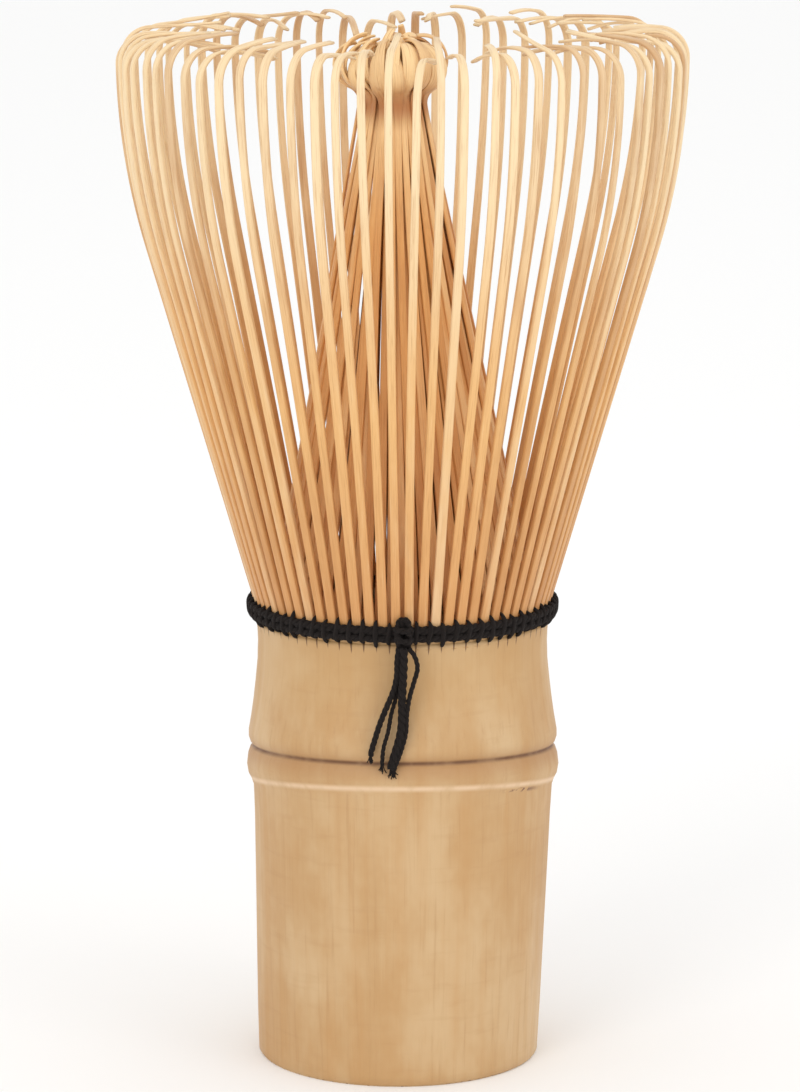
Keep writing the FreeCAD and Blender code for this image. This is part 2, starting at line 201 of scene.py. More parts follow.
def add_rope(parts, points, radius, turn_length, plies=2, closed=False, phase=0.0, tone=0.5):
    """Twisted plies along points: radius is the rope's, turn_length the length of one twist."""
    points = np.asarray(points, float)
    tangent = tangents(points, closed)
    steep = np.abs(tangent[:, 2:3]) > 0.8
    across = unit(np.cross(tangent, np.where(steep, [[0, 1.0, 0]], [UP])))
    rise = np.cross(across, tangent)
    last = points[:1] if closed else points[-1:]
    steps = np.linalg.norm(np.diff(points, axis=0, append=last), axis=1)
    run = np.concatenate([[0], np.cumsum(steps)])
    total = run[-1]
    turns = max(1, round(total / turn_length)) if closed else total / turn_length
    angle = math.tau * turns * run[: len(points)] / total + phase
    ply_radius = radius * (0.6 if plies == 2 else 0.54)
    for ply in range(plies):
        a = (angle + math.tau * ply / plies)[:, None]
        offset = (across * np.cos(a) + rise * np.sin(a)) * (radius - ply_radius)
        add_tube(parts, points + offset, ply_radius, 7, closed, tone + 0.07 * ply)


# ------------------------------------------------------------------ materials


def new_material(name, **settings):
    """A material, its node tree and its shader; settings name the shader's own sockets."""
    material = bpy.data.materials.new(name)
    material.use_nodes = True
    tree = material.node_tree
    shader = tree.nodes["Principled BSDF"]
    for key, value in settings.items():
        shader.inputs[key.replace("_", " ")].default_value = value
    return material, tree, shader


def linear(r, g, b):
    """A linear colour from an sRGB one in 0 to 255."""
    out = [c / 255 for c in (r, g, b)]
    return tuple(c / 12.92 if c <= 0.04045 else ((c + 0.055) / 1.055) ** 2.4 for c in out) + (1.0,)


class Graph:
    """Short forms for the shader nodes that the materials share."""

    def __init__(self, tree):
        self.tree = tree

    def put(self, socket, value):
        """Links a socket to value, or sets it when value is a plain number or colour."""
        if isinstance(value, bpy.types.NodeSocket):
            self.tree.links.new(value, socket)
        else:
            socket.default_value = value

    def node(self, kind, **inputs):
        """A new node with its inputs filled in by name."""
        node = self.tree.nodes.new(kind)
        for key, value in inputs.items():
            self.put(node.inputs[key.replace("_", " ")], value)
        return node

    def attribute(self, name, output):
        """An attribute of the mesh: its Fac when it is a number, its Vector when it is a vector."""
        node = self.tree.nodes.new("ShaderNodeAttribute")
        node.attribute_name = name
        return node.outputs[output]

    def calc(self, operation, a, b=0.0):
        """One operation of the Math node."""
        node = self.tree.nodes.new("ShaderNodeMath")
        node.operation = operation
        self.put(node.inputs[0], a)
        self.put(node.inputs[1], b)
        return node.outputs[0]

    def plus(self, a, b):
        return self.calc("ADD", a, b)

    def minus(self, a, b):
        return self.calc("SUBTRACT", a, b)

    def times(self, a, b):
        return self.calc("MULTIPLY", a, b)

    def noise(self, vector, scale=1.0, detail=3.0, roughness=0.55):
        """Noise between 0 and 1."""
        node = self.node("ShaderNodeTexNoise", Vector=vector, Scale=scale)
        node.inputs["Detail"].default_value = detail
        node.inputs["Roughness"].default_value = roughness
        return node.outputs["Fac"]

    def stretch(self, vector, scale):
        """The vector times a scale for each axis."""
        node = self.tree.nodes.new("ShaderNodeVectorMath")
        node.operation = "MULTIPLY"
        self.put(node.inputs[0], vector)
        node.inputs[1].default_value = scale
        return node.outputs[0]

    def span(self, value, low, high, to_low=0.0, to_high=1.0, smooth=True):
        """to_low where value is at low, to_high at high, and between them in between."""
        node = self.tree.nodes.new("ShaderNodeMapRange")
        node.interpolation_type = "SMOOTHSTEP" if smooth else "LINEAR"
        for key, number in zip((1, 2, 3, 4), (low, high, to_low, to_high)):
            node.inputs[key].default_value = number
        self.put(node.inputs[0], value)
        return node.outputs[0]

    def mix(self, factor, a, b):
        """Colour a where factor is 0, b where it is 1. The colour sockets are 6, 7 and output 2."""
        node = self.tree.nodes.new("ShaderNodeMix")
        node.data_type = "RGBA"
        self.put(node.inputs[0], factor)
        self.put(node.inputs[6], a)
        self.put(node.inputs[7], b)
        return node.outputs[2]

    def band(self, value, centre, width):
        """1 at centre, falling smoothly to 0 at width on each side."""
        away = self.calc("ABSOLUTE", self.minus(value, centre))
        return self.span(away, 0.0, width, 1.0, 0.0)

    def bump(self, height, distance, strength):
        """The normal of a surface raised by up to distance, in metres."""
        node = self.node("ShaderNodeBump", Height=height, Distance=distance, Strength=strength)
        return node.outputs["Normal"]


# The groove of the node and the lip of the ridge under it lie on planes tipped up at the front.
GROOVE_HEIGHT = 34.13
GROOVE_SLOPE = math.tan(math.radians(5.0))
LIP_HEIGHT = 30.35
LIP_SLOPE = math.tan(math.radians(8.7))

SKIN = linear(190, 149, 99)
SKIN_PALE = linear(203, 170, 126)
SKIN_DARK = linear(172, 127, 78)
SKIN_WARM = linear(190, 141, 86)
SKIN_UPPER = linear(192, 152, 98)
# The next colour is painted shade over the ridge of the node, just under its groove.
RIDGE_SHADE = linear(170, 124, 77)
LIP_PALE = linear(226, 194, 158)
# The next colour is painted shade in the groove of the node.
GROOVE_SHADE = linear(116, 76, 44)
FLECK_DARK = linear(92, 50, 38)
# The next colour is painted shade for the slits between the tines.
SLIT_SHADE = linear(84, 48, 24)
CUT_PALE = linear(226, 196, 150)
CUT_DARK = linear(150, 104, 62)
ROOT_SKIN = linear(194, 152, 101)
NECK_HEIGHT = 103.2  # where the cone is narrowest, under the bun


def culm_material():
    """The skin of the bamboo: fibres up the culm, soft patches, the marks of the node, and painted shade
    over the node's ridge and groove and in the slits between the tines.
    """
    material, tree, shader = new_material("bamboo_skin", Roughness=0.52, Specular_IOR_Level=0.5)
    g = Graph(tree)
    place = g.node("ShaderNodeTexCoord").outputs["Object"]
    axes = g.node("ShaderNodeSeparateXYZ", Vector=place).outputs
    x, y, z = axes[0], axes[1], axes[2]
    fibre = g.noise(g.stretch(place, (1900, 1900, 45)), detail=4.0, roughness=0.7)
    broad = g.noise(g.stretch(place, (420, 420, 22)))
    colour = skin_colour(g, place, fibre, broad)
    colour = node_colour_and_shade(g, colour, place, (x, y, z), broad)
    colour = slit_shade_colour(g, colour, (x, y, z), broad)
    # The cut foot shows the ends of the fibres as brown specks.
    cut = g.span(z, 0.12 * MM, 0.04 * MM)
    specks = g.noise(place, scale=2300, detail=1.0)
    colour = g.mix(cut, colour, g.mix(g.span(specks, 0.56, 0.66), CUT_PALE, CUT_DARK))
    tree.links.new(colour, shader.inputs["Base Color"])
    tree.links.new(g.span(broad, 0.3, 0.7, 0.44, 0.62), shader.inputs["Roughness"])
    relief = g.plus(g.times(fibre, 0.7), g.times(broad, 0.5))
    tree.links.new(g.bump(relief, 0.06 * MM, 0.6), shader.inputs["Normal"])
    return material


def skin_colour(g, place, fibre, broad):
    """Clouds of pale skin, warm streaks, dark and pale fibres, faint marks across them."""
    cloud = g.noise(g.stretch(place, (95, 95, 60)), detail=4.0, roughness=0.6)
    cross = g.noise(g.stretch(place, (130, 130, 900)))
    colour = g.mix(g.span(cloud, 0.36, 0.66), SKIN, SKIN_PALE)
    colour = g.mix(g.times(g.span(broad, 0.45, 0.75), 0.34), colour, SKIN_WARM)
    colour = g.mix(g.times(g.span(fibre, 0.5, 0.8), 0.45), colour, SKIN_DARK)
    colour = g.mix(g.times(g.span(fibre, 0.45, 0.2), 0.35), colour, SKIN_PALE)
    return g.mix(g.times(g.span(cross, 0.55, 0.75), 0.16), colour, SKIN_DARK)


def node_colour_and_shade(g, colour, place, axes, broad):
    """Yellower skin above the node, painted shade as a brown band over the ridge, a pale lip under it,
    painted shade as a dark line in the groove over the ridge, and a few dark flecks under the lip, to the
    right of the front."""
    x, y, z = axes
    ring = g.plus(z, g.times(y, GROOVE_SLOPE))
    lip_ring = g.plus(z, g.times(y, LIP_SLOPE))
    colour = g.mix(g.times(g.span(ring, 36 * MM, 44 * MM), 0.35), colour, SKIN_UPPER)
    # Painted shade: a brown band over the ridge, darkest just under the groove.
    ridge_shade = g.times(g.band(ring, 33.6 * MM, 2.2 * MM), 0.62)
    colour = g.mix(ridge_shade, colour, RIDGE_SHADE)
    lip = g.times(g.band(lip_ring, LIP_HEIGHT * MM, 0.5 * MM), g.span(broad, 0.3, 0.6, 0.45, 0.95))
    colour = g.mix(lip, colour, LIP_PALE)
    # Painted shade: a dark line along the groove, where the node's recess is in shadow.
    groove_shade = g.times(g.band(ring, GROOVE_HEIGHT * MM, 0.4 * MM), g.span(broad, 0.25, 0.6, 0.55, 1.0))
    colour = g.mix(groove_shade, colour, GROOVE_SHADE)
    side = g.times(g.band(x, 12.6 * MM, 2.4 * MM), g.span(y, 0.0, -6 * MM))
    under = g.band(lip_ring, (LIP_HEIGHT - 0.6) * MM, 0.35 * MM)
    fleck = g.noise(g.stretch(place, (900, 900, 1500)), detail=2.0)
    fleck = g.times(side, g.times(under, g.span(fleck, 0.47, 0.56)))
    return g.mix(fleck, colour, FLECK_DARK)


def slit_shade_colour(g, colour, axes, broad):
    """Painted shade for the slits between the tines, which the culm's mesh does not cut: thin dark lines
    that end in points just under the thread.
    """
    x, y, z = axes
    turn = g.calc("DIVIDE", g.calc("ARCTAN2", y, x), PITCH)
    away = g.calc("ABSOLUTE", g.minus(g.calc("FRACT", g.plus(turn, 0.5)), 0.5))
    ragged = g.plus(z, g.times(g.minus(broad, 0.5), 2.4 * MM))
    low = HEAD_HEIGHT * MM
    opening = g.span(ragged, low, low + 1.4 * MM, 0.0, 0.1, smooth=False)
    # Painted shade: dark lines where the slits would be in shadow.
    slit_shade = g.span(g.minus(away, opening), 0.03, -0.01, 0.0, 0.8)
    slit_shade = g.times(slit_shade, g.span(ragged, low, low + 0.5 * MM))
    return g.mix(slit_shade, colour, SLIT_SHADE)


def tine_material(name, low, middle, high, dark, ramp, bun_shade=0.0):
    """Split bamboo, with fibres along it. Its colour is low, middle and high at ramp's three
    heights, and dark in its streaks. The last argument sets how much painted shade darkens it just under the
    bun."""
    material, tree, shader = new_material(name, Roughness=0.5, Specular_IOR_Level=0.4)
    g = Graph(tree)
    place = g.node("ShaderNodeTexCoord").outputs["Object"]
    height = g.node("ShaderNodeSeparateXYZ", Vector=place).outputs[2]
    grain = g.attribute("grain", "Vector")
    tone = g.attribute("tone", "Fac")
    colour = g.mix(g.span(height, ramp[0] * MM, ramp[1] * MM, smooth=False), low, middle)
    colour = g.mix(g.span(height, ramp[1] * MM, ramp[2] * MM), colour, high)
    fibre = g.noise(g.stretch(grain, (9.0, 0.22, 9.0)), detail=4.0, roughness=0.65)
    patch = g.noise(g.stretch(grain, (0.6, 0.12, 1.0)), detail=2.0)
    colour = g.mix(g.times(g.span(fibre, 0.48, 0.72), 0.5), colour, dark)
    colour = g.mix(g.times(g.span(fibre, 0.46, 0.25), 0.3), colour, high)
    shade = g.plus(g.times(tone, 0.6), g.times(patch, 0.4))
    colour = g.mix(g.span(shade, 0.56, 0.85, 0.0, 0.55), colour, dark)
    colour = g.mix(g.span(shade, 0.42, 0.15, 0.0, 0.5), colour, high)
    # Painted shade under the overhang of the bun, where the tines crowd together.
    bun_shade_mask = g.times(g.band(height, NECK_HEIGHT * MM, 3.0 * MM), bun_shade)
    colour = g.mix(bun_shade_mask, colour, dark)
    # At its root a tine still has the colour of the culm's skin.
    skin = g.mix(g.times(g.span(fibre, 0.5, 0.75), 0.4), ROOT_SKIN, SKIN_DARK)
    colour = g.mix(g.span(height, 51.0 * MM, 48.2 * MM), colour, skin)
    tree.links.new(colour, shader.inputs["Base Color"])
    tree.links.new(g.bump(fibre, 0.04 * MM, 0.5), shader.inputs["Normal"])
    return material


def thread_material():
    """Black cotton: dull, a little hairy, with the twist of its yarn and some grey lint."""
    material, tree, shader = new_material(
        "black_cotton",
        Roughness=0.85,
        Specular_IOR_Level=0.25,
        Sheen_Weight=0.15,
        Sheen_Roughness=0.5,
        Sheen_Tint=linear(120, 110, 105),
    )
    g = Graph(tree)
    grain = g.attribute("grain", "Vector")
    yarn = g.stretch(grain, (1.0, 3.2, 1.0))
    twist = g.node("ShaderNodeTexWave", Vector=yarn, Scale=1.6, Distortion=1.5).outputs["Fac"]
    lint = g.noise(grain, scale=6.0)
    colour = g.mix(g.times(twist, 0.7), linear(15, 11, 10), linear(42, 32, 28))
    colour = g.mix(g.span(lint, 0.6, 0.8, 0.0, 0.4), colour, linear(86, 74, 66))
    tree.links.new(colour, shader.inputs["Base Color"])
    tree.links.new(g.bump(twist, 0.05 * MM, 0.8), shader.inputs["Normal"])
    return material


BAMBOO = culm_material()
OUTER_WOOD = tine_material(
    "outer_tine_wood",
    low=linear(208, 150, 92),
    middle=linear(228, 178, 116),
    high=linear(241, 215, 172),
    dark=linear(180, 120, 64),
    ramp=(50, 72, 104),
)
INNER_WOOD = tine_material(
    "inner_tine_wood",
    low=linear(206, 146, 86),
    middle=linear(226, 165, 97),
    high=linear(245, 209, 154),
    dark=linear(170, 104, 52),
    ramp=(50, 88, 108),
    # Painted shade just under the bun.
    bun_shade=0.85,
)
COTTON = thread_material()

# ------------------------------------------------------------------ the culm

# The outside of the culm: height, radius, and how far the front of that ring is tipped up.
CULM_RINGS = [
    (0.0, 15.0, 0.0),
    (0.25, 15.22, 0.0),
    (5.2, 15.42, 0.0),
    (14.2, 15.68, 0.6),
    (21.0, 15.87, 3.0),
    (26.6, 16.02, 7.2),
    (29.6, 16.16, 8.6),
    (30.25, 16.38, 8.7),
    (30.9, 16.7, 8.3),
    (31.9, 16.86, 7.2),
    (33.1, 16.72, 5.8),
    (33.75, 16.5, 5.2),
    (34.1, 16.15, 5.0),
    (34.45, 16.46, 5.0),
    (35.0, 16.64, 5.0),
    (35.7, 16.64, 4.8),
    (37.4, 16.34, 4.2),
    (39.2, 16.08, 3.4),
    (41.2, 15.84, 2.0),
    (43.6, 15.6, 0.9),
    (45.6, 15.55, 0.2),
    (47.0, 15.61, 0.0),
    (47.6, 15.68, 0.0),
    (48.15, 15.74, 0.0),
]
ROOT_HEIGHT = CULM_RINGS[-1][0]  # where the tines come out of the culm, right under the thread
FOOT_RADIUS = CULM_RINGS[0][1]
FOOT_SHIFT = -0.45  # the foot's centre lies a little to the left of the culm's axis
SHIFTED_BELOW = 29.0
CULM_SIDES = 220
CULM_ROUGH = 0.07
HEAD_ROUGH = 0.02

# The inside: the bore of the handle up to the septum, and the hollow above it.
SEPTUM_UNDERSIDE = 31.2
SEPTUM_TOP = 34.6
SEPTUM_RADIUS = 12.3
BORE_EDGE = 0.3
BORE_HEIGHTS = (SEPTUM_UNDERSIDE, 30.0, 24.0, 16.0, 8.0, 1.0, BORE_EDGE)
# The hollow from the roots of the tines down: height, radius and unevenness.
HOLLOW_RINGS = [
    (ROOT_HEIGHT, 14.6, 0.0),
    (HEAD_HEIGHT, 14.55, 0.0),
    (HEAD_HEIGHT, 13.5, 0.0),
    (44.0, 13.2, 0.04),
    (38.0, 12.7, 0.04),
    (SEPTUM_TOP, SEPTUM_RADIUS, 0.04),
]


def lumps(angle, height, size):
    """A slow, smooth unevenness round the culm and up it."""
    rng = random.Random(5)
    out = 0.0
    for waves in (2, 3, 5, 9, 14):
        phase, drift = rng.uniform(0, math.tau), rng.uniform(-0.12, 0.12)
        out = out + size / waves * np.sin(waves * angle + phase + drift * height)
    return out


def refine(rings, most):
    """Adds rings between rings, so that none are further apart than most."""
    out = [rings[0]]
    for a, b in zip(rings, rings[1:]):
        steps = max(1, math.ceil((b[0] - a[0]) / most))
        for i in range(1, steps + 1):
            t = i / steps
            out.append(tuple(x + (y - x) * t for x, y in zip(a, b)))
    return out


def make_culm():
    """The culm's whole skin, inside and out, as one run of rings."""
    angle = np.linspace(0, math.tau, CULM_SIDES, endpoint=False)
    cos, sin = np.cos(angle), np.sin(angle)
    layers = []

    def ring(height, radius, tip=0.0, rough=0.0):
        r = radius + lumps(angle, height, rough)
        shift = FOOT_SHIFT * max(0.0, 1 - height / SHIFTED_BELOW)
        z = height - r * sin * math.tan(math.radians(tip))
        layers.append(np.stack([r * cos + shift, r * sin, z], -1))

    # From the middle of the septum's underside, down the bore and out across the foot.
    for share in (0.02, 0.3, 0.6, 0.85):
        ring(SEPTUM_UNDERSIDE - 0.9 * (1 - share**2), BORE_RADIUS * share)
    for height in BORE_HEIGHTS:
        ring(height, BORE_RADIUS + 0.02, rough=0.05)
    for share in (0.0, 0.25, 0.5, 0.75):
        ring(0.0, BORE_RADIUS + BORE_EDGE + (FOOT_RADIUS - BORE_RADIUS - BORE_EDGE) * share)
    # Up the outside, down into the hollow, and in across the top of the septum.
    for height, radius, tip in refine(CULM_RINGS, 1.0):
        rough = CULM_ROUGH if height < HEAD_HEIGHT - 2 else HEAD_ROUGH
        ring(height, radius, tip, rough if height > 0 else 0.0)
    for height, radius, rough in HOLLOW_RINGS:
        ring(height, radius, rough=rough)
    for share in (0.8, 0.5, 0.25, 0.02):
        ring(SEPTUM_TOP + 0.6 * (1 - share), SEPTUM_RADIUS * share)
    verts = np.concatenate(layers)
    faces = [face[::-1] for face in tube_faces(len(layers), CULM_SIDES)]
    culm = make_mesh("culm_skin", verts, faces, BAMBOO)
    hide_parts("culm")
    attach(culm, "culm")


make_culm()

# ------------------------------------------------------------------ tines

OUTER_ROOT_RADIUS = 15.37
OUTER_ROOT_LEAN = 4.0
OUTER_HINGE_RADIUS = 15.6
INNER_ROOT_RADIUS = 14.22
INNER_HINGE_RADIUS = 14.2
# How the inner tines layer where they gather: lean in, straight run, then the bun, which
# swells out and closes over: length and turn outwards, length and turn back in.
INNER_LAYERS = {
    "low": (11.65, 54.1, 2.1, 76.0, 7.4, 172.0),
    "middle": (12.15, 54.5, 2.0, 66.0, 6.6, 158.0),
    "high": (12.6, 55.2, 2.0, 52.0, 5.6, 124.0),
}
LAYER_ORDER = ["low", "middle", "low", "high"]
BUN_SHIFT = 0.75  # the bun lies a little to the left of the whisk's axis


def trace(start_radius, start_height, lean, runs, step):
    """A tine's middle line in its own upright plane. runs are (length, turn outwards in degrees).
    Gives radius, height, lean in radians and length so far, each one number per station."""
    r, z, a, s = start_radius, start_height, math.radians(lean), 0.0
    out = [(r, z, a, s)]
    for length, turn in runs:
        steps = max(2, math.ceil(length / step), math.ceil(abs(turn) / 9))
        for _ in range(steps):
            a += math.radians(turn) / steps / 2
            r += math.sin(a) * length / steps
            z += math.cos(a) * length / steps
            a += math.radians(turn) / steps / 2
            s += length / steps
            out.append((r, z, a, s))
    return np.array(out).T


def directions(azimuth):
    """Outwards and sideways, anticlockwise from above, at an azimuth round the whisk."""
    cos, sin = math.cos(azimuth), math.sin(azimuth)
    return np.array([cos, sin, 0.0]), np.array([-sin, cos, 0.0])


def add_tine(parts, azimuth, line, half_width, half_depth, soft, sway, twist, left=0.0):
    """A ribbon with softened edges along line, which is what trace gives.
    soft is the size of the broken edge. sway moves the ribbon sideways, twist turns it about
    its own line, and left moves it to the whisk's left, each one number per station."""
    r, z, a, s = line
    out, side = directions(azimuth)
    centre = r[:, None] * out + z[:, None] * UP + sway[:, None] * side
    centre[:, 0] -= left
    tangent = np.sin(a)[:, None] * out + np.cos(a)[:, None] * UP
    depth = np.cos(a)[:, None] * out - np.sin(a)[:, None] * UP
    across = np.cos(twist)[:, None] * side + np.sin(twist)[:, None] * depth
    depth = np.cross(across, tangent)
    w, d = half_width, half_depth
    corners = [
        (w - soft, d),
        (w, d - soft),
        (w, -d + soft),
        (w - soft, -d),
        (-w + soft, -d),
        (-w, -d + soft),
        (-w, d - soft),
        (-w + soft, d),
    ]
    x = np.stack([c[0] for c in corners], 1)
    y = np.stack([c[1] for c in corners], 1)
    verts = centre[:, None] + x[..., None] * across[:, None] - y[..., None] * depth[:, None]
    tone = RNG.random()
    identity = tone * 97.0  # takes each tine to a place of its own in the textures
    grain = np.stack([x + identity, np.broadcast_to(s[:, None], x.shape), y + identity], -1)
    parts.add(verts.reshape(-1, 3), tube_faces(len(s), len(corners)), grain.reshape(-1, 3), tone)


def outer_tine(parts, azimuth):
    """One outer tine, flush with the culm at its root and curled in at the shoulder."""
    curl = 1 + RNG.gauss(0, 0.035)
    runs = [
        (0.5, 0.0),  # out of the culm
        (1.2, 7.0),  # bending out over the ring of thread
        (2.0, 5.4),
        (38.6 + RNG.gauss(0, 0.25), RNG.gauss(0, 0.35)),  # the straight blade
        (18.6, -14.4 + RNG.gauss(0, 0.45)),  # slowly back to upright
        (1.0, 0.0),
        (4.6 * curl, -87 + RNG.gauss(0, 4)),  # the shoulder
        (6.4 + RNG.uniform(-1.8, 1.8), -13 + RNG.gauss(0, 10)),  # the tip, which droops
    ]
    line = trace(OUTER_ROOT_RADIUS, ROOT_HEIGHT - 0.6, OUTER_ROOT_LEAN, runs, 1.5)
    z, s = line[1], line[3]
    end = s[-1]
    top = s / end
    root = ease(z, HEAD_HEIGHT, HEAD_HEIGHT + 2.6)
    half_width = 0.69 - 0.19 * root**0.7 - 0.1 * top - 0.03 * ease(s, end - 7, end)
    half_width = half_width * (1 + 0.07 * RNG.gauss(0, 1) * ease(z, 50, 60))
    half_depth = 0.29 - 0.05 * top - 0.09 * ease(s, end - 14, end - 2)
    soft = 0.012 + 0.09 * root
    drift = RNG.gauss(0, 0.26) * ease(z, 50, 112)
    bow = RNG.gauss(0, 0.12) * np.sin(math.pi * top)
    tip = RNG.gauss(0, 1.0) * ease(s, end - 12, end + 2) ** 1.5
    twist = RNG.gauss(0, 0.16) * top + RNG.gauss(0, 0.14) * ease(s, end - 10, end)
    sway = drift + bow + tip
    add_tine(parts, azimuth, line, half_width, half_depth, soft, sway, twist)


def inner_tine(parts, azimuth, layer):
    """One inner tine, leaning in to the neck, with its tip bent round into the bun."""
    lean, run, swell, out, close, back = INNER_LAYERS[layer]
    lean += RNG.gauss(0, 0.12)
    # 1 at the left of the bun, which is tangled, and 0 at its right, which is smooth.
    loose = 0.5 - 0.5 * math.cos(azimuth + 0.6)
    runs = [
        (1.7, 0.0),
        (1.65, -lean),
        (run + RNG.gauss(0, 0.3), RNG.gauss(0, 0.4)),
        (swell, out + RNG.gauss(0, 2 + 4 * loose)),
        (close + RNG.uniform(-1.6, 0.6), -back + RNG.gauss(0, 6 + 14 * loose)),
    ]
    line = trace(INNER_ROOT_RADIUS, HEAD_HEIGHT - 0.1, 0.0, runs, 1.6)
    z, s = line[1], line[3]
    end = s[-1]
    top = s / end
    in_bun = ease(s, end - 8, end)
    # The tines are broadest where the bun rolls over, and there they close its surface.
    broad = (0.34 - 0.16 * loose) * (ease(s, end - 10, end - 6) - 0.9 * ease(s, end - 4, end))
    half_width = 0.52 - 0.22 * top + broad
    half_depth = 0.2 - 0.07 * top
    sway = RNG.gauss(0, 0.2) * np.sin(math.pi * top) + RNG.gauss(0, 0.2 + 1.1 * loose) * in_bun
    twist = RNG.gauss(0, 0.2) * top + RNG.gauss(0, 0.5 * loose) * in_bun
    left = BUN_SHIFT * ease(z, 50, 100)
    add_tine(parts, azimuth, line, half_width, half_depth, 0.07, sway, twist, left)


def finish_tines(parts, kind, number, material, body, hinge):
    """Builds one section's tines. Their roots stay with the culm, and the rest follows body.
    hinge says where they bend, in plan."""
    piece = parts.build(f"{kind}_tine_group_{number}", material)
    # The broad faces are shaded flat, and only the broken edges round.
    piece.modifiers.new("flat_faces", "WEIGHTED_NORMAL").weight = 80
    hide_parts(f"{kind}_tines_{number}")
    low = hinge + (HEAD_HEIGHT + 0.2) * UP
    high = hinge + (THREAD_HEIGHT + 6) * UP
    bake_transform(piece, "culm", body, start=tuple(low * MM), end=tuple(high * MM))


def make_tines():
    """Every section of outer tines, and the section of inner tines behind it."""
    for k in range(SECTIONS):
        outer, inner = MeshParts(), MeshParts()
        for j in range(TINES_PER_SECTION):
            place = k * TINES_PER_SECTION + j - (TINES_PER_SECTION - 1) / 2
            outer_tine(outer, FRONT + place * PITCH)
            inner_tine(inner, FRONT + (place + 0.5) * PITCH, LAYER_ORDER[j])
        number = f"{k + 1:02}"
        out, _ = directions(FRONT + k * TINES_PER_SECTION * PITCH)
        body = f"outer_section_{number}"
        finish_tines(outer, "outer", number, OUTER_WOOD, body, OUTER_HINGE_RADIUS * out)
        finish_tines(inner, "inner", number, INNER_WOOD, "inner_bundle", INNER_HINGE_RADIUS * out)


make_tines()

# ------------------------------------------------------------------ the thread

# The rows outside the tines: CAD node, radius, and height over the middle of the thread.
ROWS = {
    "thread_row_low": ("thread_lower_row", 16.13, -0.5),
    "thread_row_high": ("thread_upper_row", 16.24, 0.34),
}
ROW_ROPE_RADIUS = 0.48
ROW_TWIST = 2.4
RING_RADIUS = 14.97
RING_ROPE_RADIUS = 0.27
RING_TWIST = 1.6
STITCH_RADIUS = 0.3
STITCH_STATIONS = 24


def finish_thread(parts, name, node, body):
    """Builds a piece of thread in place of a CAD node, moving with body."""
    piece = parts.build(name, COTTON)
    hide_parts(node)
    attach(piece, body)


def round_points(radius, height, wave=0.0):
    """Points round the whisk; wave makes the thread bulge over each tine."""
    count = 10 * TINE_COUNT
    angle = np.linspace(0, math.tau, count, endpoint=False)
    r = radius + wave * np.cos(TINE_COUNT * (angle - FRONT - PITCH / 2))
    return np.stack([r * np.cos(angle), r * np.sin(angle), np.full(count, height)], -1)


def add_stitch(parts, azimuth):
    """One stitch across both rows in a gap between tines, a little askew, thin at both ends."""
    out, side = directions(azimuth)
    rise, drop = RNG.uniform(1.0, 1.6), RNG.uniform(1.1, 1.6)
    skew = RNG.uniform(0.0, 0.3)
    # Radius, height over the middle of the thread, and how much of the skew.
    route = [
        (15.8, rise, 0.1),
        (16.25, 0.75 * rise, 0.3),
        (16.5, 0.45, 0.5),
        (16.42, -0.5, -0.4),
        (16.05, -0.8 * drop, -0.3),
        (15.5, -drop, 0.0),
    ]
    points = [r * out + skew * lean * side + (THREAD_HEIGHT + h) * UP for r, h, lean in route]
    body = np.sin(np.linspace(0.12, math.pi - 0.12, STITCH_STATIONS)) ** 0.7
    path = smooth_path(points, STITCH_STATIONS)
    add_tube(parts, path, STITCH_RADIUS * body, 7, tone=RNG.random())


def make_band():
    """Two twisted rows round the outer tines, held by a stitch through every gap, and the ring
    between the outer and the inner tines."""
    for name, (node, radius, rise) in ROWS.items():
        parts = MeshParts()
        points = round_points(radius, THREAD_HEIGHT + rise, wave=0.04)
        add_rope(parts, points, ROW_ROPE_RADIUS, ROW_TWIST, plies=3, closed=True, tone=RNG.random())
        finish_thread(parts, name, node, "culm")
    parts = MeshParts()
    points = round_points(RING_RADIUS, THREAD_HEIGHT)
    add_rope(parts, points, RING_ROPE_RADIUS, RING_TWIST, closed=True, tone=0.4)
    finish_thread(parts, "thread_between_rows", "thread_ring", "culm")
    parts = MeshParts()
    for i in range(TINE_COUNT):
        add_stitch(parts, FRONT + i * PITCH)
    finish_thread(parts, "thread_whip_stitches", "thread_stitches", "culm")


KNOT = np.array([0.1, -16.75, THREAD_HEIGHT])
KNOT_ROPE_RADIUS = 0.34
KNOT_TWIST = 1.4
# Loops of the knot: half width, half height, tilt from level and turn about the upright, both in
# radians, and offset from the knot's middle.
KNOT_LOOPS = [
    (0.8, 0.62, 0.0, 0.0, (0.0, -0.1, 0.6)),
    (0.75, 0.62, 0.3, 0.2, (0.05, -0.12, -0.4)),
    (0.5, 1.5, 1.45, 0.2, (-0.2, -0.1, 0.1)),
    (0.5, 1.6, 1.6, -0.3, (0.22, -0.12, 0.05)),
    (0.7, 0.75, 0.75, 0.5, (0.0, -0.3, -0.1)),
    (0.7, 0.65, -0.6, -0.4, (0.05, -0.25, 0.2)),
]


def make_knot():
    """A small heap of crossed loops."""
    parts = MeshParts()
    angle = np.linspace(0, math.tau, 40, endpoint=False)
    for wide, tall, tilt, turn, offset in KNOT_LOOPS:
        x, y = wide * np.cos(angle), tall * np.sin(angle)
        loop = np.stack([x, y * math.cos(tilt), y * math.sin(tilt)], -1)
        c, s = math.cos(turn), math.sin(turn)
        loop = loop @ np.array([[c, s, 0], [-s, c, 0], [0, 0, 1]])
        points = loop + KNOT + np.array(offset)
        add_rope(parts, points, KNOT_ROPE_RADIUS, KNOT_TWIST, closed=True, tone=RNG.random())
    finish_thread(parts, "knot_loops", "thread_knot", "culm")


